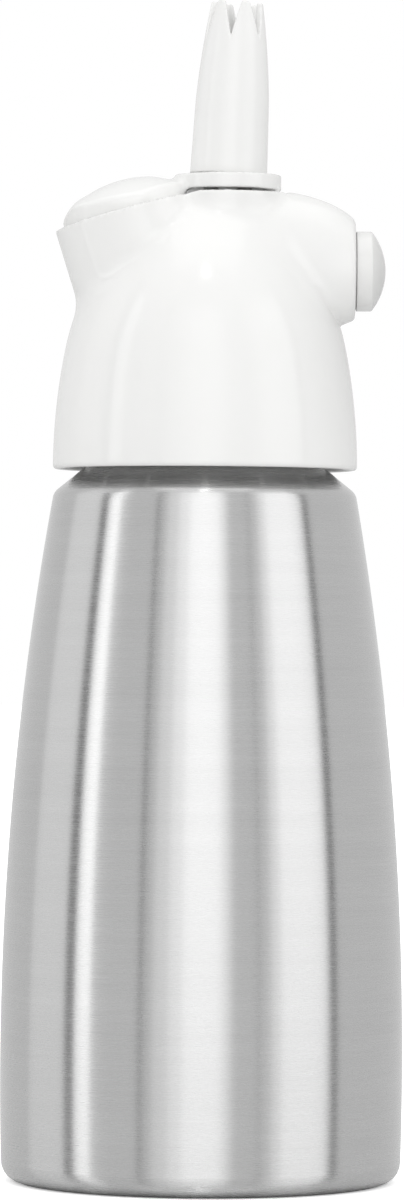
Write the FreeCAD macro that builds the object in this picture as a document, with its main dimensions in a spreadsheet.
import FreeCAD, Part
import math
import os
from types import SimpleNamespace

import Sketcher

# Whipped cream dispenser with a squeeze lever, in millimetres and degrees.
# The origin is the centre of the bottle's base. +Z is up and +X points at the charging port.

SIZES = {
    # bottle
    "bottle_r": 37.0,  # widest radius
    "bottle_wide_z": 21.0,  # height of the widest place
    "bottle_bow": 610.0,  # radius of the long side arc
    "bottle_wall": 1.2,
    "base_inset": 5.0,  # from the widest radius in to the ring that it stands on
    "base_ring_wide": 4.0,
    "base_dish_rise": 1.6,
    "base_corner": 4.0,
    "shoulder_z": 126.6,
    "shoulder_corner": 2.4,
    "neck_foot_r": 21.8,
    "neck_foot_z": 131.5,
    "neck_r": 20.5,
    "rim_z": 146.0,
    "rim_round": 0.45,
    # head gasket
    "gasket_in_r": 18.3,
    "gasket_out_r": 21.6,
    "gasket_thick": 2.5,
    # bell of the head
    "bell_rim_z": 130.9,
    "bell_r": 28.0,
    "bell_wall": 1.6,
    "bell_edge_round": 0.5,
    "dome_low_bow": 114.0,  # three arcs make the dome
    "dome_low_turn": 11.3,
    "dome_mid_bow": 43.0,
    "dome_mid_turn": 25.6,
    "thread_play": 1.4,  # room for the thread between neck and sleeve
    "sleeve_wall": 2.4,
    "sleeve_z": 132.7,
    "relief_top_z": 143.5,
    "rib_count": 12,
    "rib_thick": 1.2,
    "rib_foot_z": 134.5,
    "ceiling_rise": 2.0,  # chamber above the gasket seat
    "chamber_inset": 0.6,
    # charging boss
    "port_z": 167.6,
    "port_face_x": 27.4,
    "port_face_r": 9.0,
    "boss_crown_x": 13.7,  # where the boss starts to narrow
    "boss_crown_up": 14.9,
    "boss_crown_wide": 11.3,
    "boss_brow_x": 21.0,
    "boss_brow_up": 11.9,
    "boss_brow_wide": 9.6,
    "boss_mid_x": 4.0,  # section over the valve
    "boss_mid_up": 15.4,
    "boss_mid_wide": 14.0,
    "boss_tail_x": -5.0,
    "boss_tail_up": 14.6,
    "boss_tail_wide": 14.0,
    "crease_round": 2.5,
    "face_bevel": 0.5,
    # beak
    "beak_tip_x": -27.5,  # nose at the height beak_z
    "beak_z": 173.7,
    "beak_foot_z": 157.9,  # the beak runs into the bell above here
    "beak_lean": 17.4,
    "nose_bow": 14.5,
    "nose_half": 12.0,
    "side_bow": 48.0,
    "beak_half": 14.8,
    "beak_widest_x": -5.0,
    "beak_end_x": 0.0,
    "nose_edge_round": 1.2,  # ridges down both sides of the nose
    "beak_wall": 1.1,
    "rim_slope": 15.5,
    "rim_ref_x": -26.0,
    "rim_ref_z": 175.1,
    "cavity_floor_z": 166.5,
    # collar and well under the lever's plate
    "valve_x": 4.0,  # valve axis where it crosses the nozzle's base
    "valve_z": 185.3,
    "valve_tilt": 2.6,
    "collar_r": 11.1,
    "deck_z": 181.95,
    "well_floor_z": 177.4,
    "well_play": 0.1,
    "well_end_x": 10.2,
    "well_back_x": -5.2,  # the deep part of the beak's cavity ends here
    # lever
    "lever_gap": 0.35,
    "plate_r": 9.7,
    "plate_low_z": 182.3,
    "plate_top_z": 185.1,
    "plate_recess": 1.0,
    "recess_play": 1.0,
    "lever_hole_r": 5.4,
    "pad_skirt": 1.6,
    "pad_wall": 1.7,
    "pad_lift": 0.15,
    "cam_r": 1.8,
    "cam_half": 6.9,
    "cam_play": 0.05,
    "tip_station": -26.9,  # crown of the pad, station by station
    "tip_crown": 175.2,
    "brow_station": -25.4,
    "brow_crown": 178.2,
    "rise_station": -21.4,
    "rise_crown": 181.6,
    "knee_station": -16.4,
    "knee_crown": 183.9,
    "peak_station": -10.8,
    "peak_crown": 184.8,
    "saddle_station": -5.5,
    "saddle_crown": 184.1,
    "end_station": 0.0,
    "end_crown": 183.8,
    "pivot_x": 12.4,
    "pivot_z": 180.2,
    "pin_r": 1.0,
    "pin_play": 0.06,
    "pin_front_y": -5.4,
    "pin_back_y": 6.4,
    "knuckle_r": 1.8,
    "knuckle_half": 3.5,
    "knuckle_neck": 2.7,
    "knuckle_play": 0.3,
    "swing": 4.5,  # how far the lever turns
    "swing_gap": 0.25,  # room left at the end of its turn
    # valve, heights counted along its axis from the nozzle's base
    "stem_r": 4.5,
    "stem_bore_r": 2.9,
    "stem_play": 0.08,
    "stem_end_r": 4.0,
    "stem_end_up": 9.0,
    "collar_top_down": 4.1,
    "collar_thick": 0.9,
    "stem_collar_r": 6.5,
    "spring_seat_down": 13.3,
    "spring_wire": 0.9,
    "spring_r": 5.8,
    "spring_turns": 5.0,
    "spring_pocket_r": 7.0,
    "bush_r": 7.0,
    "bush_flange_r": 8.6,
    "bush_flange": 1.8,
    "bush_chamber_r": 5.5,
    "bush_chamber": 7.0,
    "bush_end_down": 35.0,
    "bush_groove_down": 20.0,
    "ring_upper_down": 17.0,
    "ring_lower_down": 24.0,
    "ring_slot": 1.1,
    "ring_depth": 0.7,
    "ring_play": 0.03,
    "bush_ring_depth": 0.9,
    "stem_port_r": 1.3,
    "stem_port_down": 31.5,
    "stem_floor_down": 33.4,
    "stem_tail": 0.4,  # stem below its nut
    "seal_in_r": 3.2,
    "seal_out_r": 6.4,
    "seal_thick": 2.0,
    "nut_r": 5.6,
    "nut_thick": 3.0,
    # nozzle and its adapter
    "adapter_r": 5.4,
    "adapter_top": 9.4,
    "washer_lift": 0.3,
    "washer_thick": 1.0,
    "washer_in_r": 3.2,
    "nozzle_r": 7.1,
    "nozzle_waist_up": 13.3,
    "nozzle_waist_r": 6.75,
    "nozzle_bow": 165.0,
    "nozzle_len": 31.7,
    "nozzle_tip_r": 4.7,
    "nozzle_wall": 1.1,
    "nozzle_throat_r": 4.6,
    "nozzle_throat_up": 20.0,
    "nozzle_foot_round": 0.4,
    "tooth_count": 6,
    "tooth_depth": 6.6,
    "tooth_gap": 3.1,
    "notch_turn": 10.0,
    # charging inlet, along the port's axis
    "inlet_in_x": 12.8,
    "inlet_r": 6.4,
    "nipple_x": 19.8,
    "nipple_r": 6.0,
    "nipple_end_x": 27.0,
    "inlet_bore_r": 4.7,
    "inlet_seat_x": 17.4,
    "pin_flange_r": 3.4,
    "pin_flange": 1.2,
    "inlet_cavity_r": 2.0,
    "inlet_cavity_x": 13.8,
    "inlet_ring_x": 18.0,
    "needle_r": 0.9,
    "needle_bore_r": 0.35,
    "needle_end_x": 22.0,
    "charger_seal": 1.2,
    "charger_seal_in_r": 1.5,
    "port_well_r": 7.7,
    "seal_play": 0.1,
    # protective cap
    "cap_r": 7.35,
    "cap_skirt_r": 6.95,
    "cap_skirt_x": 21.4,
    "thread_fit": 0.08,  # clearance of pieces that are unscrewed in use
    "cap_low_x": 27.8,
    "cap_edge_x": 30.4,
    "cap_dome": 2.6,
    "cap_hollow_r": 4.8,
    "cap_hollow": 2.4,
    "cap_round": 0.5,
    "liner_thick": 0.8,
    # non-return valve under the inlet
    "check_x": 14.6,
    "check_r": 2.5,
    "check_top_z": 158.5,
    "check_way_r": 1.0,
    "poppet_r": 2.2,
    "poppet_len": 2.8,
    "poppet_nose_r": 1.3,
    "check_plug": 2.2,
    "check_plug_hole_r": 0.8,
    "check_wire": 0.35,
    "check_spring_r": 1.6,
    "check_turns": 4.0,
    "fit": 0.02,  # clearance of pieces that are pressed or screwed together
}

WHOLE_TURN = 360.0
NUT_SIDES = 6
PLANE_TURNS = {
    "XY": FreeCAD.Rotation(),
    "XZ": FreeCAD.Rotation(FreeCAD.Vector(1, 0, 0), 90),
    "YZ": FreeCAD.Rotation(0.5, 0.5, 0.5, 0.5),
}


class Size:
    """A length or an angle: its value, and the sheet expression that gives it."""

    def __init__(self, value, text):
        self.value = value
        self.text = text

    def __add__(self, other):
        other = as_size(other)
        return Size(self.value + other.value, f"({self.text} + {other.text})")

    __radd__ = __add__

    def __sub__(self, other):
        other = as_size(other)
        return Size(self.value - other.value, f"({self.text} - {other.text})")

    def __rsub__(self, other):
        return as_size(other) - self

    def __mul__(self, other):
        other = as_size(other)
        return Size(self.value * other.value, f"({self.text} * {other.text})")

    __rmul__ = __mul__

    def __truediv__(self, other):
        other = as_size(other)
        return Size(self.value / other.value, f"({self.text} / {other.text})")

    def __neg__(self):
        return Size(-self.value, f"(0 - {self.text})")

    def __float__(self):
        return float(self.value)


def as_size(number):
    return number if isinstance(number, Size) else Size(float(number), f"({float(number):g})")


def root(size):
    return Size(math.sqrt(size.value), f"sqrt({size.text})")


def sine(angle):
    return Size(math.sin(math.radians(angle.value)), f"sin({angle.text})")


def cosine(angle):
    return Size(math.cos(math.radians(angle.value)), f"cos({angle.text})")


def tangent(angle):
    return sine(angle) / cosine(angle)


doc = FreeCAD.newDocument("whipped_cream_dispenser")
sheet = doc.addObject("Spreadsheet::Sheet", "Sizes")
for row, (alias, value) in enumerate(SIZES.items(), start=1):
    sheet.set(f"A{row}", alias)
    sheet.set(f"B{row}", str(value))
    sheet.setAlias(f"B{row}", alias)
doc.recompute()
s = SimpleNamespace(**{a: Size(float(v), f"Sizes.{a}") for a, v in SIZES.items()})


# Sketches and features


def bind(thing, prop, size):
    """Ties a property of an object to the sheet."""
    thing.setExpression(prop, as_size(size).text)


def new_sketch(host, name, plane, shift=(0, 0, 0), turn=0, about=(0, 0, -1)):
    """An empty sketch on a main plane. shift is in the sketch's own axes, and so is the axis of its turn."""
    if host is None:
        sketch = doc.addObject("Sketcher::SketchObject", name)
        sketch.Placement.Rotation = PLANE_TURNS[plane]
        target = "Placement.Base."
        axes = {"XY": "xyz", "XZ": "xz", "YZ": "yzx"}[plane]
        for axis, size in zip(axes, shift):
            if isinstance(size, Size):
                bind(sketch, target + axis, size)
        return sketch
    sketch = host.newObject("Sketcher::SketchObject", name)
    face = [o for o in host.Origin.OriginFeatures if o.Role == f"{plane}_Plane"][0]
    sketch.AttachmentSupport = (face, [""])
    sketch.MapMode = "FlatFace"
    sketch.AttachmentOffset = FreeCAD.Placement(
        FreeCAD.Vector(*[float(v) for v in shift]), FreeCAD.Rotation(FreeCAD.Vector(*about), float(turn))
    )
    for axis, size in zip("xyz", shift):
        if isinstance(size, Size):
            bind(sketch, f"AttachmentOffset.Base.{axis}", size)
    if isinstance(turn, Size):
        bind(sketch, "AttachmentOffset.Rotation.Angle", turn)
    return sketch


def pin_point(sketch, edge, end, across, up):
    """Holds one end of an edge at its place."""
    for size, kind, axis in ((across, "DistanceX", -2), (up, "DistanceY", -1)):
        if isinstance(size, Size):
            index = sketch.addConstraint(Sketcher.Constraint(kind, -1, 1, edge, end, size.value))
            bind(sketch, f"Constraints[{index}]", size)
        else:
            sketch.addConstraint(Sketcher.Constraint("PointOnObject", edge, end, axis))


def arc_between(start, end, bow):
    """The short arc from start to end. A positive bow turns left on the way and a negative one right."""
    if bow < 0:
        start, end = end, start
    radius = abs(bow)
    chord = end - start
    left = FreeCAD.Vector(-chord.y, chord.x, 0).normalize()
    centre = (start + end) * 0.5 + left * math.sqrt(radius**2 - chord.Length**2 / 4)
    angles = [math.atan2((p - centre).y, (p - centre).x) for p in (start, end)]
    if angles[1] < angles[0]:
        angles[1] += 2 * math.pi
    circle = Part.Circle(centre, FreeCAD.Vector(0, 0, 1), radius)
    return Part.ArcOfCircle(circle, angles[0], angles[1])


def outline(host, name, plane, corners, **place):
    """A closed sketch. A corner is (across, up) or (across, up, bow), where bow is the radius of the arc
    that leaves it. A plain 0 lies on the sketch's axis, and everything else is a Size."""
    sketch = new_sketch(host, name, plane, **place)
    points = [FreeCAD.Vector(float(c[0]), float(c[1]), 0) for c in corners]
    edges = []
    for i, corner in enumerate(corners):
        after = points[(i + 1) % len(corners)]
        if len(corner) == 3:
            edge = sketch.addGeometry(arc_between(points[i], after, float(corner[2])), False)
            ends = (1, 2) if float(corner[2]) > 0 else (2, 1)
        else:
            edge = sketch.addGeometry(Part.LineSegment(points[i], after), False)
            ends = (1, 2)
        edges.append((edge, ends))
    for i, corner in enumerate(corners):
        edge, ends = edges[i]
        behind, behind_ends = edges[i - 1]
        sketch.addConstraint(Sketcher.Constraint("Coincident", behind, behind_ends[1], edge, ends[0]))
        pin_point(sketch, edge, ends[0], corner[0], corner[1])
        if len(corner) == 3:
            index = sketch.addConstraint(Sketcher.Constraint("Radius", edge, abs(float(corner[2]))))
            size = corner[2] if float(corner[2]) > 0 else -corner[2]
            bind(sketch, f"Constraints[{index}]", size)
    return sketch


def disc(host, name, plane, radius, across=0, up=0, **place):
    """A sketch of one circle."""
    sketch = new_sketch(host, name, plane, **place)
    centre = FreeCAD.Vector(float(across), float(up), 0)
    edge = sketch.addGeometry(Part.Circle(centre, FreeCAD.Vector(0, 0, 1), float(radius)), False)
    pin_point(sketch, edge, 3, across, up)
    index = sketch.addConstraint(Sketcher.Constraint("Radius", edge, float(radius)))
    bind(sketch, f"Constraints[{index}]", radius)
    return sketch


def oval(name, wide, high, x):
    """An upright ellipse across the charging port's axis, as a section for a loft."""
    section = doc.addObject("Part::Ellipse", name)
    section.Placement.Rotation = FreeCAD.Rotation(FreeCAD.Vector(0, 1, 0), -90)
    section.MajorRadius = float(high)
    section.MinorRadius = float(wide)
    bind(section, "MajorRadius", high)
    bind(section, "MinorRadius", wide)
    bind(section, "Placement.Base.x", x)
    bind(section, "Placement.Base.z", s.port_z)
    return section


def new_body(label, at=None, turn=None, axis=FreeCAD.Vector(0, 1, 0)):
    """A PartDesign body. at and turn place it."""
    body = doc.addObject("PartDesign::Body", label)
    body.Label = label
    if turn is not None:
        body.Placement = FreeCAD.Placement(FreeCAD.Vector(), FreeCAD.Rotation(axis, float(turn)))
        bind(body, "Placement.Rotation.Angle", turn)
    for name, size in zip("xyz", at or ()):
        if isinstance(size, Size):
            bind(body, f"Placement.Base.{name}", size)
    return body


def on_valve(label):
    """A body whose own Z axis is the valve's axis and whose origin is the nozzle's base."""
    return new_body(label, at=(s.valve_x, 0, s.valve_z), turn=s.valve_tilt)


def on_port(label):
    """A body whose own Z axis is the charging port's axis, with its height equal to the object's x."""
    return new_body(label, at=(0, 0, s.port_z), turn=as_size(90))


def spin(body, name, corners, cut=False, axis="V_Axis", **place):
    """A Revolution or a Groove about an axis of a sketch in the body's XZ plane."""
    before = body.Shape.Volume if cut else 0
    sketch = outline(body, f"{name}_outline", "XZ", corners, **place)
    kind = "PartDesign::Groove" if cut else "PartDesign::Revolution"
    feature = body.newObject(kind, name)
    feature.Profile = sketch
    feature.ReferenceAxis = (sketch, [axis])
    feature.Angle = WHOLE_TURN
    doc.recompute()
    if cut and feature.Shape.Volume >= before - 1e-6:
        raise RuntimeError(f"{name} cuts nothing")
    return feature


def extrude(body, sketch, name, length, cut=False, midplane=False, reverse=False):
    """A Pad or a Pocket."""
    before = body.Shape.Volume if body.Shape and not body.Shape.isNull() else 0
    feature = body.newObject("PartDesign::Pocket" if cut else "PartDesign::Pad", name)
    feature.Profile = sketch
    feature.Length = float(length)
    bind(feature, "Length", length)
    feature.Midplane = midplane
    feature.Reversed = reverse
    doc.recompute()
    if cut and feature.Shape.Volume >= before - 1e-6:
        raise RuntimeError(f"{name} cuts nothing")
    return feature


def edges_where(shape, test):
    """Names of the edges whose middle point passes a test."""
    names = []
    for number, edge in enumerate(shape.Edges, start=1):
        middle = edge.valueAt((edge.FirstParameter + edge.LastParameter) / 2)
        if not edge.Degenerated and test(edge, middle):
            names.append(f"Edge{number}")
    return names


def soften(body, base, name, radius, test, kind="PartDesign::Fillet"):
    """A Fillet, or a Chamfer, on the edges that pass a test."""
    feature = body.newObject(kind, name)
    feature.Base = (base, edges_where(base.Shape, test))
    prop = "Radius" if kind.endswith("Fillet") else "Size"
    setattr(feature, prop, float(radius))
    bind(feature, prop, radius)
    doc.recompute()
    return feature


def ring_at(radius, height, slack=1e-3):
    """A test for a full circle about the body's own axis."""

    def test(edge, middle):
        away = math.hypot(middle.x, middle.y)
        round_edge = isinstance(edge.Curve, Part.Circle)
        return round_edge and abs(away - float(radius)) < slack and abs(middle.z - float(height)) < slack

    return test


def repeat(body, feature, name, count):
    """A polar pattern about the body's own Z axis."""
    axis = [o for o in body.Origin.OriginFeatures if o.Role == "Z_Axis"][0]
    pattern = body.newObject("PartDesign::PolarPattern", name)
    pattern.Originals = [feature]
    pattern.Axis = (axis, [""])
    pattern.Angle = WHOLE_TURN
    pattern.Occurrences = int(float(count))
    bind(pattern, "Occurrences", count)
    body.Tip = pattern
    doc.recompute()
    return pattern


def washer(body, name, inner, outer, low, high):
    """A plain ring about the body's axis."""
    return spin(body, name, [(inner, low), (outer, low), (outer, high), (inner, high)])


# Places that several pieces share


def bottle_radius(height):
    """Radius of the bottle's long side at a height."""
    rise = height - s.bottle_wide_z
    return s.bottle_r - s.bottle_bow + root(s.bottle_bow * s.bottle_bow - rise * rise)


def rim_height(x):
    """Height of the beak's sloping rim at x."""
    return s.rim_ref_z + (x - s.rim_ref_x) * tangent(s.rim_slope)


far = as_size(60)  # longer than anything that it cuts
base_ring_r = s.bottle_r - s.base_inset
gasket_top_z = s.rim_z + s.gasket_thick
sleeve_r = s.neck_r + s.thread_play
ceiling_z = gasket_top_z + s.ceiling_rise
well_r = s.plate_r + s.lever_gap + s.well_play
over_valve = as_size(10)  # how far columns and bores reach past the nozzle's base
past = as_size(1)  # how far a cut runs past the face that it opens
bite = as_size(0.5)  # how far a piece reaches into the one that it is joined to
chamber_r = s.gasket_in_r - s.chamber_inset
relief_rise = s.relief_top_z - s.bell_rim_z
relief_out_r = (
    s.bell_r - s.dome_low_bow + root(s.dome_low_bow * s.dome_low_bow - relief_rise * relief_rise) - s.bell_wall
)
collar_top = -s.collar_top_down
collar_low = collar_top - s.collar_thick
spring_seat = -s.spring_seat_down
bush_end = -s.bush_end_down
bush_bore_r = s.stem_r + s.stem_play
lever_inset = s.beak_wall + s.lever_gap
cap_bore_r = s.nipple_r + s.thread_fit
nozzle_bore_r = s.adapter_r + s.thread_fit


def make_bottle():
    body = new_body("bottle")
    outer = spin(
        body,
        "bottle_form",
        [
            (0, s.base_dish_rise),
            (base_ring_r - s.base_ring_wide, s.base_dish_rise),
            (base_ring_r - s.base_dish_rise, 0),
            (bottle_radius(as_size(0)), 0, s.bottle_bow),
            (bottle_radius(s.shoulder_z), s.shoulder_z),
            (s.neck_foot_r, s.neck_foot_z),
            (s.neck_r, s.neck_foot_z + (s.neck_foot_r - s.neck_r)),
            (s.neck_r, s.rim_z),
            (0, s.rim_z),
        ],
    )
    corner = soften(body, outer, "base_edge", s.base_corner, ring_at(bottle_radius(as_size(0)), 0))
    shoulder = soften(
        body, corner, "shoulder_edge", s.shoulder_corner, ring_at(bottle_radius(s.shoulder_z), s.shoulder_z)
    )
    shell = body.newObject("PartDesign::Thickness", "wall")
    mouth = [
        f"Face{n}"
        for n, face in enumerate(shoulder.Shape.Faces, start=1)
        if abs(face.CenterOfMass.z - float(s.rim_z)) < 1e-3
    ]
    shell.Base = (shoulder, mouth)
    shell.Value = float(s.bottle_wall)
    bind(shell, "Value", s.bottle_wall)
    shell.Reversed = True
    shell.Join = 1
    doc.recompute()
    soften(body, shell, "rim_edge", s.rim_round, lambda edge, middle: abs(middle.z - float(s.rim_z)) < 1e-3)


def make_gasket():
    body = new_body("head_gasket")
    washer(body, "gasket_ring", s.gasket_in_r, s.gasket_out_r, s.rim_z, gasket_top_z)


def part_object(kind, name, at=(0, 0, 0), **sizes):
    """A primitive of the Part workbench with its sizes and its place tied to the sheet."""
    thing = doc.addObject(kind, name)
    for prop, size in sizes.items():
        setattr(thing, prop, float(size))
        bind(thing, prop, size)
    for axis, size in zip("xyz", at):
        if isinstance(size, Size):
            bind(thing, f"Placement.Base.{axis}", size)
    return thing


def combine(kind, name, first, *others):
    """A boolean of the Part workbench: Cut, Common or MultiFuse."""
    thing = doc.addObject(f"Part::{kind}", name)
    if kind == "MultiFuse":
        thing.Shapes = [first, *others]
    else:
        thing.Base = first
        thing.Tool = others[0]
    doc.recompute()
    return thing


def on_axis(name, radius, low, high):
    """A cylinder about the valve's axis, between two places along it."""
    thing = doc.addObject("Part::Cylinder", name)
    thing.Placement.Rotation = FreeCAD.Rotation(FreeCAD.Vector(0, 1, 0), float(s.valve_tilt))
    bind(thing, "Placement.Rotation.Angle", s.valve_tilt)
    bind(thing, "Placement.Base.x", s.valve_x + low * sine(s.valve_tilt))
    bind(thing, "Placement.Base.z", s.valve_z + low * cosine(s.valve_tilt))
    bind(thing, "Radius", radius)
    bind(thing, "Height", high - low)
    return thing


def slab(name, sketch, half):
    """A sketch drawn out by the same length to both sides."""
    thing = doc.addObject("Part::Extrusion", name)
    thing.Base = sketch
    thing.DirMode = "Normal"
    thing.Symmetric = True
    thing.Solid = True
    bind(thing, "LengthFwd", 2 * half)
    return thing


def plan_outline(name, inset):
    """Plan of the beak at the height beak_z, moved inwards by inset."""
    tip_x = s.beak_tip_x + inset
    half = s.nose_half - inset
    bow = s.nose_bow - inset
    corner_x = tip_x + bow - root(bow * bow - half * half)
    end_round = s.beak_end_x - s.beak_widest_x
    widest = s.beak_half - inset
    end_x = s.beak_end_x - inset
    turn_y = s.beak_half - end_round
    return outline(
        None,
        name,
        "XY",
        [
            (corner_x, half, bow),
            (corner_x, -half, s.side_bow - inset),
            (s.beak_widest_x, -widest, end_round - inset),
            (end_x, -turn_y),
            (end_x, turn_y, end_round - inset),
            (s.beak_widest_x, widest, s.side_bow - inset),
        ],
        shift=(0, 0, s.beak_z),
    )


def column(name, inset, low, high):
    """The beak's plan drawn out along the lean of its nose, between two heights."""
    thing = doc.addObject("Part::Extrusion", name)
    thing.Base = plan_outline(f"{name}_plan", inset)
    thing.DirMode = "Custom"
    thing.Dir = FreeCAD.Vector(-math.sin(math.radians(float(s.beak_lean))), 0, 1)
    bind(thing, "Dir.x", -sine(s.beak_lean))
    bind(thing, "Dir.z", cosine(s.beak_lean))
    bind(thing, "LengthFwd", (high - s.beak_z) / cosine(s.beak_lean))
    bind(thing, "LengthRev", (s.beak_z - low) / cosine(s.beak_lean))
    thing.Solid = True
    return thing


def above_line(name, drop, deck):
    """Everything above a line that follows the beak's rim, drop below it, and then the deck."""
    deck_x = s.rim_ref_x + (deck - s.rim_ref_z + drop) / tangent(s.rim_slope)
    sketch = outline(
        None,
        f"{name}_line",
        "XZ",
        [
            (-far, rim_height(-far) - drop),
            (deck_x, deck),
            (far, deck),
            (far, s.valve_z + far),
            (-far, s.valve_z + far),
        ],
    )
    return slab(name, sketch, far)


def make_dome():
    """Revolved outside of the bell: three arcs that meet smoothly."""
    low_turn = s.dome_low_turn
    mid_turn = s.dome_low_turn + s.dome_mid_turn
    low_r = s.bell_r - s.dome_low_bow * (1 - cosine(low_turn))
    low_z = s.bell_rim_z + s.dome_low_bow * sine(low_turn)
    mid_r = low_r - s.dome_mid_bow * (cosine(low_turn) - cosine(mid_turn))
    mid_z = low_z + s.dome_mid_bow * (sine(mid_turn) - sine(low_turn))
    top_bow = mid_r / cosine(mid_turn)
    top_z = mid_z + top_bow * (1 - sine(mid_turn))
    sketch = outline(
        None,
        "dome_outline",
        "XZ",
        [
            (0, s.bell_rim_z),
            (s.bell_r, s.bell_rim_z, s.dome_low_bow),
            (low_r, low_z, s.dome_mid_bow),
            (mid_r, mid_z, top_bow),
            (0, top_z),
        ],
    )
    dome = doc.addObject("Part::Revolution", "dome")
    dome.Source = sketch
    dome.Axis = FreeCAD.Vector(0, 0, 1)
    dome.Angle = WHOLE_TURN
    dome.Solid = True
    return dome


def make_boss():
    """Lofted charging boss, from the round end face to its tail inside the beak."""
    stations = [
        (s.boss_tail_x, s.boss_tail_wide, s.boss_tail_up),
        (s.boss_mid_x, s.boss_mid_wide, s.boss_mid_up),
        (s.boss_crown_x, s.boss_crown_wide, s.boss_crown_up),
        (s.boss_brow_x, s.boss_brow_wide, s.boss_brow_up),
        (s.port_face_x, s.port_face_r, s.port_face_r),
    ]
    boss = doc.addObject("Part::Loft", "boss")
    boss.Sections = [
        oval(f"boss_section_{n}", wide, high, x) for n, (x, wide, high) in enumerate(stations, start=1)
    ]
    boss.Solid = True
    return boss


def make_head_form():
    """Outside of the head, still closed above the beak, and what is trimmed off above the beak's rim and the deck."""
    high = s.valve_z + over_valve
    beak = column("beak", as_size(0), s.beak_foot_z, high)
    collar = on_axis("collar", s.collar_r, spring_seat, over_valve)
    rough = combine("MultiFuse", "rough_head", make_dome(), make_boss(), beak, collar)
    over = combine("MultiFuse", "over_deck", beak, collar)
    trimming = combine("Common", "trimming", over, above_line("above_deck", as_size(0), s.deck_z))
    return rough, trimming


def concave(shape):
    """Middle points of the edges in a shape's hollows, found by how much of a small ball is filled."""
    ball_r = 0.25
    half_ball = 2 / 3 * math.pi * ball_r**3
    found = set()
    for edge in shape.Edges:
        middle = edge.valueAt((edge.FirstParameter + edge.LastParameter) / 2)
        inside = shape.common(Part.makeSphere(ball_r, middle)).Volume
        if inside > half_ball * 1.02:
            found.add(tuple(middle))
    return found


def limit(name, end_x):
    """Everything on the lever's side of a plane across the object."""
    return part_object(
        "Part::Box", name, at=(end_x - far, -far / 2, s.cavity_floor_z - far / 2), Length=far, Width=far, Height=far
    )


def make_cavity():
    """The room in the head for the lever: the beak's hollow, the round well and the knuckle's slot."""
    high = s.valve_z + over_valve
    hollow = column("beak_hollow", s.beak_wall, s.cavity_floor_z, high)
    deep = combine("Common", "deep_hollow", hollow, limit("beak_hollow_limit", s.well_back_x))
    shallow = column("beak_shelf", s.beak_wall, s.well_floor_z, high)
    round_well = on_axis("round_well", well_r, s.well_floor_z - s.valve_z, over_valve)
    well = combine("Common", "well", round_well, limit("well_limit", s.well_end_x))
    slot_half = s.knuckle_half + s.knuckle_play
    slot_r = s.knuckle_r + s.knuckle_play
    slot = part_object(
        "Part::Box",
        "knuckle_slot",
        at=(s.well_end_x - slot_r, -slot_half, s.pivot_z - slot_r),
        Length=s.pivot_x - s.well_end_x + 2 * slot_r,
        Width=2 * slot_half,
        Height=s.valve_z - s.pivot_z + slot_r,
    )
    return deep, shallow, well, slot


def cross_pin(name, radius, front, back):
    """A cylinder across the object at the lever's pivot."""
    pin = part_object("Part::Cylinder", name, at=(s.pivot_x, front, s.pivot_z), Radius=radius, Height=back - front)
    pin.Placement.Rotation = FreeCAD.Rotation(FreeCAD.Vector(1, 0, 0), -90)
    return pin


def round_edges(body):
    """Takes the edge off the nose's ridges, the boss's face and the rim of the bell."""

    def nose_ridge(edge, middle):
        straight = isinstance(edge.Curve, Part.Line)
        aside = abs(abs(middle.y) - float(s.nose_half)) < float(s.beak_wall) / 2
        return straight and aside and middle.x < float(s.beak_widest_x) and middle.z > float(s.beak_foot_z)

    soften(body, body.Tip, "nose_ridges", s.nose_edge_round, nose_ridge)
    bevel_r = s.port_face_r - s.face_bevel
    spin(
        body,
        "face_edge",
        [
            (s.port_face_x - past, bevel_r + past),
            (s.port_face_x + past, bevel_r - past),
            (s.port_face_x + past, bevel_r + past),
        ],
        cut=True,
        axis="H_Axis",
        shift=(0, s.port_z, 0),
    )
    soften(body, body.Tip, "bell_edge", s.bell_edge_round, ring_at(s.bell_r, s.bell_rim_z))


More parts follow.
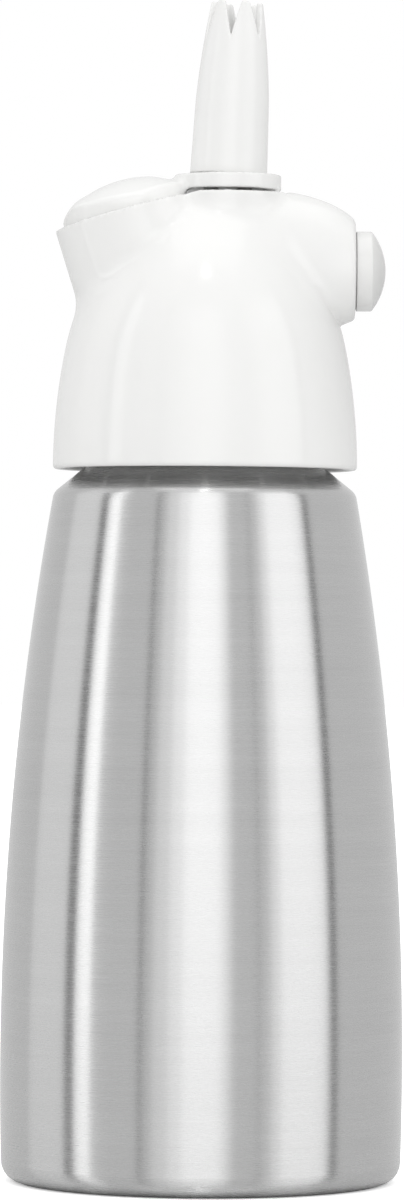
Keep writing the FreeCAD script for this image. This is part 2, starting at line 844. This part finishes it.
def make_head():
    rough, trimming = make_head_form()
    lever_room = combine("MultiFuse", "lever_room", trimming, *make_cavity())
    hollow = combine("Cut", "hollow_head", rough, lever_room)
    pin_hole = cross_pin("pin_hole", s.pin_r + s.fit, s.pin_front_y, s.collar_r + past)
    drilled = combine("Cut", "drilled_head", hollow, pin_hole)
    body = new_body("head_housing")
    body.BaseFeature = drilled
    doc.recompute()
    base = body.Tip
    creases = concave(base.Shape)
    crown_z = s.port_z + s.port_face_r

    def boss_crease(edge, middle):
        return tuple(middle) in creases and middle.x > 0 and abs(middle.y) > 5 and middle.z < float(crown_z)

    soften(body, base, "boss_blend", s.crease_round, boss_crease)
    spin(
        body,
        "bell_room",
        [
            (0, s.bell_rim_z - past),
            (s.bell_r - s.bell_wall, s.bell_rim_z - past),
            (s.bell_r - s.bell_wall, s.bell_rim_z + s.bell_wall),
            (relief_out_r, s.relief_top_z),
            (sleeve_r + s.sleeve_wall, s.relief_top_z),
            (sleeve_r + s.sleeve_wall, s.sleeve_z),
            (sleeve_r, s.sleeve_z),
            (sleeve_r, gasket_top_z),
            (chamber_r, gasket_top_z),
            (chamber_r, ceiling_z),
            (0, ceiling_z),
        ],
        cut=True,
    )
    rib_in = sleeve_r + s.sleeve_wall - bite
    rib_out = s.bell_r - s.bell_wall
    half = s.rib_thick / 2
    rib_plan = outline(
        body,
        "rib_plan",
        "XY",
        [(rib_in, -half), (rib_out, -half), (rib_out, half), (rib_in, half)],
        shift=(0, 0, s.rib_foot_z),
    )
    rib = extrude(body, rib_plan, "rib", s.relief_top_z + bite - s.rib_foot_z)
    repeat(body, rib, "ribs", s.rib_count)
    spin(
        body,
        "valve_bore",
        [
            (0, bush_end - over_valve),
            (s.bush_flange_r + s.fit, bush_end - over_valve),
            (s.bush_flange_r + s.fit, bush_end + s.bush_flange),
            (s.bush_r + s.fit, bush_end + s.bush_flange),
            (s.bush_r + s.fit, spring_seat),
            (s.spring_pocket_r, spring_seat),
            (s.spring_pocket_r, over_valve),
            (0, over_valve),
        ],
        cut=True,
        shift=(s.valve_x, s.valve_z, 0),
        turn=s.valve_tilt,
    )
    spin(
        body,
        "port_bore",
        [
            (s.inlet_in_x, 0),
            (s.port_face_x + past, 0),
            (s.port_face_x + past, s.port_well_r),
            (s.nipple_x, s.port_well_r),
            (s.nipple_x, s.inlet_r + s.fit),
            (s.inlet_in_x, s.inlet_r + s.fit),
        ],
        cut=True,
        axis="H_Axis",
        shift=(0, s.port_z, 0),
    )
    seat_rise = s.check_r - s.check_way_r
    spin(
        body,
        "check_bore",
        [
            (0, ceiling_z - past),
            (s.check_r, ceiling_z - past),
            (s.check_r, s.check_top_z),
            (s.check_way_r, s.check_top_z + seat_rise),
            (s.check_way_r, s.port_z - s.inlet_r + bite),
            (0, s.port_z - s.inlet_r + bite),
        ],
        cut=True,
        shift=(s.check_x, 0, 0),
    )
    round_edges(body)


def swing_back(thing):
    """Turns a solid about the lever's pivot by the lever's whole turn, to where it meets the lever at rest."""
    turn = s.swing
    thing.Placement.Rotation = FreeCAD.Rotation(FreeCAD.Vector(0, 1, 0), float(turn))
    bind(thing, "Placement.Rotation.Angle", turn)
    bind(thing, "Placement.Base.x", s.pivot_x * (1 - cosine(turn)) - s.pivot_z * sine(turn))
    bind(thing, "Placement.Base.z", s.pivot_z * (1 - cosine(turn)) + s.pivot_x * sine(turn))
    return thing


def crown_loft(name, drop):
    """The arched top of the lever's pad, drop below its own surface."""
    stations = [
        (s.tip_station, s.tip_crown),
        (s.brow_station, s.brow_crown),
        (s.rise_station, s.rise_crown),
        (s.knee_station, s.knee_crown),
        (s.peak_station, s.peak_crown),
        (s.saddle_station, s.saddle_crown),
        (s.end_station, s.end_crown),
    ]
    half = s.beak_half
    sections = []
    for number, (x, crown) in enumerate(stations, start=1):
        side = rim_height(x) + s.pad_lift
        rise = crown - side
        bow = (half * half + rise * rise) / (2 * rise)
        corners = [
            (-half, s.cavity_floor_z),
            (half, s.cavity_floor_z),
            (half, side - drop, bow),
            (-half, side - drop),
        ]
        sections.append(outline(None, f"{name}_section_{number}", "YZ", corners, shift=(0, 0, x)))
    loft = doc.addObject("Part::Loft", name)
    loft.Sections = sections
    loft.Solid = True
    return loft


def make_lever():
    low = s.cavity_floor_z
    high = s.valve_z + over_valve
    skin = combine(
        "Common", "pad_skin", column("pad_column", lever_inset, low, high), crown_loft("pad_crown", as_size(0))
    )
    core = combine(
        "Common",
        "pad_core",
        column("pad_core_column", lever_inset + s.pad_wall, low, high),
        crown_loft("pad_core_crown", s.pad_wall),
    )
    skin = combine("Common", "pad_above_skirt", skin, above_line("skirt", s.pad_skirt, s.plate_low_z - s.pad_skirt))
    swing_room = swing_back(column("pad_swing_room", s.beak_wall + s.swing_gap, low - over_valve, high))
    skin = combine("Common", "pad_free_to_swing", skin, swing_room)
    pad = combine("Cut", "pad", skin, core)
    plate = part_object(
        "Part::Cylinder",
        "plate",
        at=(s.valve_x, 0, s.plate_low_z),
        Radius=s.plate_r,
        Height=s.plate_top_z - s.plate_low_z,
    )
    cam_z = s.valve_z + collar_top * cosine(s.valve_tilt) + s.cam_r + s.cam_play
    cam_x = s.valve_x + collar_top * sine(s.valve_tilt)
    cam = part_object(
        "Part::Cylinder", "cam", at=(cam_x, -s.cam_half, cam_z), Radius=s.cam_r, Height=2 * s.cam_half
    )
    cam.Placement.Rotation = FreeCAD.Rotation(FreeCAD.Vector(1, 0, 0), -90)
    knuckle = cross_pin("knuckle", s.knuckle_r, -s.knuckle_half, s.knuckle_half)
    neck = part_object(
        "Part::Box",
        "knuckle_neck",
        at=(s.pivot_x - s.knuckle_r, -s.knuckle_half, s.pivot_z),
        Length=s.knuckle_neck,
        Width=2 * s.knuckle_half,
        Height=s.plate_low_z - s.pivot_z + bite,
    )
    solid = combine("MultiFuse", "lever_form", pad, plate, cam, knuckle, neck)
    recess = part_object(
        "Part::Cylinder",
        "nozzle_recess",
        at=(s.valve_x, 0, s.plate_top_z - s.plate_recess),
        Radius=s.nozzle_r + s.recess_play,
        Height=s.plate_recess + over_valve,
    )
    hole = part_object(
        "Part::Cylinder",
        "stem_hole",
        at=(s.valve_x, 0, s.valve_z - over_valve),
        Radius=s.lever_hole_r,
        Height=2 * over_valve,
    )
    pin_hole = cross_pin("lever_pin_hole", s.pin_r + s.pin_play, -s.knuckle_half - past, s.knuckle_half + past)
    cuts = combine("MultiFuse", "lever_cuts", recess, hole, pin_hole)
    combine("Cut", "lever", solid, cuts)
    cross_pin("lever_pin", s.pin_r, s.pin_front_y, s.pin_back_y)


def make_bush():
    body = on_valve("valve_bush")
    low = -s.bush_groove_down - s.ring_slot / 2
    high = -s.bush_groove_down + s.ring_slot / 2
    groove_r = s.bush_r - s.bush_ring_depth
    chamber_top = bush_end + s.bush_chamber
    spin(
        body,
        "bush_form",
        [
            (s.bush_chamber_r, bush_end),
            (s.bush_flange_r, bush_end),
            (s.bush_flange_r, bush_end + s.bush_flange),
            (s.bush_r, bush_end + s.bush_flange),
            (s.bush_r, low),
            (groove_r, low),
            (groove_r, high),
            (s.bush_r, high),
            (s.bush_r, spring_seat),
            (bush_bore_r, spring_seat),
            (bush_bore_r, chamber_top),
            (s.bush_chamber_r, chamber_top - (s.bush_chamber_r - bush_bore_r)),
        ],
    )


def make_valve_rings():
    slack = s.ring_play
    stem_in = s.stem_r - s.ring_depth + slack
    stem_out = s.stem_r + s.stem_play - slack
    upper = torus("stem_oring_upper", stem_in, stem_out, -s.ring_upper_down)
    lower = torus("stem_oring_lower", stem_in, stem_out, -s.ring_lower_down)
    pair = doc.addObject("Part::Compound", "stem_orings")
    pair.Links = [upper, lower]
    torus("bush_seal", s.bush_r - s.bush_ring_depth + slack, s.bush_r, -s.bush_groove_down)


def torus(name, inner, outer, up):
    """An O-ring about the valve's axis, at a place along it."""
    thing = doc.addObject("Part::Torus", name)
    thing.Placement.Rotation = FreeCAD.Rotation(FreeCAD.Vector(0, 1, 0), float(s.valve_tilt))
    bind(thing, "Placement.Rotation.Angle", s.valve_tilt)
    bind(thing, "Placement.Base.x", s.valve_x + up * sine(s.valve_tilt))
    bind(thing, "Placement.Base.z", s.valve_z + up * cosine(s.valve_tilt))
    bind(thing, "Radius1", (inner + outer) / 2)
    bind(thing, "Radius2", (outer - inner) / 2)
    return thing


def make_stem():
    body = on_valve("valve_stem")
    groove_r = s.stem_r - s.ring_depth
    half = s.ring_slot / 2
    foot = bush_end - s.seal_thick - s.nut_thick - s.stem_tail
    corners = [(0, foot), (s.seal_in_r - s.fit, foot), (s.seal_in_r - s.fit, bush_end), (s.stem_r, bush_end)]
    for middle in (-s.ring_lower_down, -s.ring_upper_down):
        corners += [
            (s.stem_r, middle - half),
            (groove_r, middle - half),
            (groove_r, middle + half),
            (s.stem_r, middle + half),
        ]
    corners += [
        (s.stem_r, collar_low),
        (s.stem_collar_r, collar_low),
        (s.stem_collar_r, collar_top),
        (s.stem_r, collar_top),
        (s.stem_r, s.washer_lift),
        (s.stem_end_r, s.washer_lift),
        (s.stem_end_r, s.stem_end_up),
        (s.stem_bore_r, s.stem_end_up),
        (s.stem_bore_r, -s.stem_floor_down),
        (0, -s.stem_floor_down),
    ]
    spin(body, "stem_form", corners)
    for plane in ("XZ", "YZ"):
        port = disc(body, f"stem_port_{plane}", plane, s.stem_port_r, 0, -s.stem_port_down)
        extrude(body, port, f"stem_port_cut_{plane}", 3 * s.stem_r, cut=True, midplane=True)


def make_seat_parts():
    washer(on_valve("valve_seat_seal"), "seat_ring", s.seal_in_r, s.seal_out_r, bush_end - s.seal_thick, bush_end)
    nut = on_valve("seat_nut")
    top = bush_end - s.seal_thick
    corners = []
    for side in range(NUT_SIDES):
        angle = as_size(WHOLE_TURN / NUT_SIDES * side)
        corners.append((s.nut_r * cosine(angle), s.nut_r * sine(angle)))
    plan = outline(nut, "nut_plan", "XY", corners, shift=(0, 0, top - s.nut_thick))
    extrude(nut, plan, "nut_form", s.nut_thick)
    hole = disc(nut, "nut_hole", "XY", s.seal_in_r, shift=(0, 0, top - s.nut_thick))
    extrude(nut, hole, "nut_bore", s.nut_thick, cut=True, reverse=True)


def coil(body, name, radius, wire, low, high, turns):
    """A compression spring between two heights."""
    section = disc(body, f"{name}_wire", "XZ", wire / 2, radius, low + wire / 2)
    spring = body.newObject("PartDesign::AdditiveHelix", name)
    spring.Profile = section
    spring.ReferenceAxis = (section, ["V_Axis"])
    spring.Mode = "height-turns-angle"
    spring.Height = float(high - low - wire)
    spring.Turns = float(turns)
    bind(spring, "Height", high - low - wire)
    bind(spring, "Turns", turns)
    doc.recompute()


def make_nozzle():
    adapter = on_valve("tip_adapter")
    spin(
        adapter,
        "adapter_form",
        [
            (s.stem_end_r + s.fit, s.washer_lift),
            (s.adapter_r, s.washer_lift),
            (s.adapter_r, s.adapter_top),
            (s.washer_in_r, s.adapter_top),
            (s.washer_in_r, s.stem_end_up),
            (s.stem_end_r + s.fit, s.stem_end_up),
        ],
    )
    washer_top = s.adapter_top + s.washer_thick
    washer(on_valve("tip_seal"), "tip_washer", s.washer_in_r, s.adapter_r, s.adapter_top, washer_top)
    body = on_valve("decorator_tip")
    form = spin(
        body,
        "nozzle_form",
        [
            (nozzle_bore_r, 0),
            (s.nozzle_r, 0),
            (s.nozzle_waist_r, s.nozzle_waist_up, s.nozzle_bow),
            (s.nozzle_tip_r, s.nozzle_len),
            (s.nozzle_tip_r - s.nozzle_wall, s.nozzle_len),
            (s.nozzle_throat_r, s.nozzle_throat_up),
            (s.nozzle_throat_r, washer_top),
            (nozzle_bore_r, washer_top),
        ],
    )
    foot = soften(body, form, "nozzle_foot", s.nozzle_foot_round, ring_at(s.nozzle_r, 0))
    slope = s.tooth_gap / s.tooth_depth / 2
    over = s.nozzle_len + past
    notch_plan = outline(
        body,
        "notch_plan",
        "XZ",
        [
            (0, s.nozzle_len - s.tooth_depth),
            ((s.tooth_depth + past) * slope, over),
            (-(s.tooth_depth + past) * slope, over),
        ],
        turn=s.notch_turn,
        about=(0, -1, 0),
    )
    notch = extrude(body, notch_plan, "notch", s.nozzle_r, cut=True, reverse=True)
    repeat(body, notch, "notches", s.tooth_count)


def make_inlet():
    body = on_port("inlet_body")
    seat_low = s.inlet_seat_x - s.pin_flange
    groove_r = s.inlet_r - s.bush_ring_depth
    groove_low = s.inlet_ring_x - s.ring_slot / 2
    groove_high = s.inlet_ring_x + s.ring_slot / 2
    spin(
        body,
        "inlet_form",
        [
            (0, s.inlet_in_x),
            (s.inlet_r, s.inlet_in_x),
            (s.inlet_r, groove_low),
            (groove_r, groove_low),
            (groove_r, groove_high),
            (s.inlet_r, groove_high),
            (s.inlet_r, s.nipple_x),
            (s.nipple_r, s.nipple_x),
            (s.nipple_r, s.nipple_end_x),
            (s.inlet_bore_r, s.nipple_end_x),
            (s.inlet_bore_r, s.inlet_seat_x),
            (s.pin_flange_r + s.fit, s.inlet_seat_x),
            (s.pin_flange_r + s.fit, seat_low),
            (s.inlet_cavity_r, seat_low),
            (s.inlet_cavity_r, s.inlet_cavity_x),
            (0, s.inlet_cavity_x),
        ],
    )
    way = disc(body, "inlet_way", "YZ", s.check_way_r, 0, s.check_x)
    extrude(body, way, "inlet_way_cut", s.inlet_r + past, cut=True, reverse=True)
    pin = on_port("piercing_pin")
    tip_rise = s.needle_r - s.needle_bore_r
    spin(
        pin,
        "pin_form",
        [
            (s.needle_bore_r, seat_low),
            (s.pin_flange_r, seat_low),
            (s.pin_flange_r, s.inlet_seat_x),
            (s.needle_r, s.inlet_seat_x),
            (s.needle_r, s.needle_end_x - 2 * tip_rise),
            (s.needle_bore_r, s.needle_end_x),
        ],
    )
    seal_high = s.inlet_seat_x + s.charger_seal
    seal_r = s.inlet_bore_r - s.seal_play
    washer(on_port("charger_seal"), "charger_ring", s.charger_seal_in_r, seal_r, s.inlet_seat_x, seal_high)
    ring = doc.addObject("Part::Torus", "inlet_seal")
    ring.Placement.Rotation = FreeCAD.Rotation(FreeCAD.Vector(0, 1, 0), 90)
    bind(ring, "Placement.Base.x", s.inlet_ring_x)
    bind(ring, "Placement.Base.z", s.port_z)
    bind(ring, "Radius1", s.inlet_r - s.bush_ring_depth / 2)
    bind(ring, "Radius2", s.bush_ring_depth / 2 - s.ring_play / 2)


def make_cap():
    liner_top = s.nipple_end_x + s.liner_thick
    liner_r = cap_bore_r - s.seal_play
    liner = on_port("cap_liner")
    spin(liner, "liner_form", [(0, s.nipple_end_x), (liner_r, s.nipple_end_x), (liner_r, liner_top), (0, liner_top)])
    body = on_port("protective_cap")
    bow = (s.cap_r * s.cap_r + s.cap_dome * s.cap_dome) / (2 * s.cap_dome)
    form = spin(
        body,
        "cap_form",
        [
            (cap_bore_r, s.cap_skirt_x),
            (s.cap_skirt_r, s.cap_skirt_x),
            (s.cap_skirt_r, s.cap_low_x),
            (s.cap_r, s.cap_low_x),
            (s.cap_r, s.cap_edge_x, bow),
            (0, s.cap_edge_x + s.cap_dome),
            (0, liner_top + s.cap_hollow),
            (s.cap_hollow_r, liner_top + s.cap_hollow),
            (s.cap_hollow_r, liner_top),
            (cap_bore_r, liner_top),
        ],
    )
    soften(body, form, "cap_edge", s.cap_round, ring_at(s.cap_r, s.cap_edge_x))


def make_check_valve():
    at = (s.check_x, 0, 0)
    plug_top = ceiling_z + s.check_plug
    poppet_low = s.check_top_z - s.poppet_len
    washer(
        new_body("check_plug", at=at), "plug_ring", s.check_plug_hole_r, s.check_r - s.fit, ceiling_z, plug_top
    )
    poppet = new_body("check_poppet", at=at)
    cone = s.poppet_r - s.poppet_nose_r
    shoulder = s.check_top_z + (s.check_r - s.poppet_r) - s.seal_play
    spin(
        poppet,
        "poppet_form",
        [
            (0, poppet_low),
            (s.poppet_r, poppet_low),
            (s.poppet_r, shoulder),
            (s.poppet_nose_r, shoulder + cone),
            (0, shoulder + cone),
        ],
    )
    spring = new_body("check_spring", at=at)
    coil(spring, "check_coil", s.check_spring_r, s.check_wire, plug_top, poppet_low, s.check_turns)


NODES = [
    "bottle",
    "head_gasket",
    "head_housing",
    "lever",
    "lever_pin",
    "valve_bush",
    "bush_seal",
    "valve_stem",
    "stem_orings",
    "valve_seat_seal",
    "seat_nut",
    "valve_spring",
    "tip_adapter",
    "tip_seal",
    "decorator_tip",
    "inlet_body",
    "inlet_seal",
    "piercing_pin",
    "charger_seal",
    "check_poppet",
    "check_spring",
    "check_plug",
    "cap_liner",
    "protective_cap",
]


def check_and_export():
    """Stops on any failed object or shape, and then writes one STEP file for each sub-part."""
    doc.recompute()
    for thing in doc.Objects:
        if "Invalid" in thing.State or "Error" in thing.State:
            raise RuntimeError(f"{thing.Label}: {thing.State}")
    parts = {name: doc.getObjectsByLabel(name)[0] for name in NODES}
    for name, part in parts.items():
        if part.Shape.isNull() or not part.Shape.isValid():
            raise RuntimeError(f"{name} has no valid shape")
    os.makedirs("parts", exist_ok=True)
    for name, part in parts.items():
        part.Shape.exportStep(f"parts/{name}.step")
        print(f"{name}: {len(part.Shape.Solids)} solids, {part.Shape.Volume:.1f} mm3")


make_bottle()
make_gasket()
make_head()
make_lever()
make_bush()
make_valve_rings()
make_stem()
make_seat_parts()
coil(
    on_valve("valve_spring"), "valve_coil", s.spring_r, s.spring_wire, spring_seat, collar_low, s.spring_turns
)
make_nozzle()
make_inlet()
make_cap()
make_check_valve()
check_and_export()
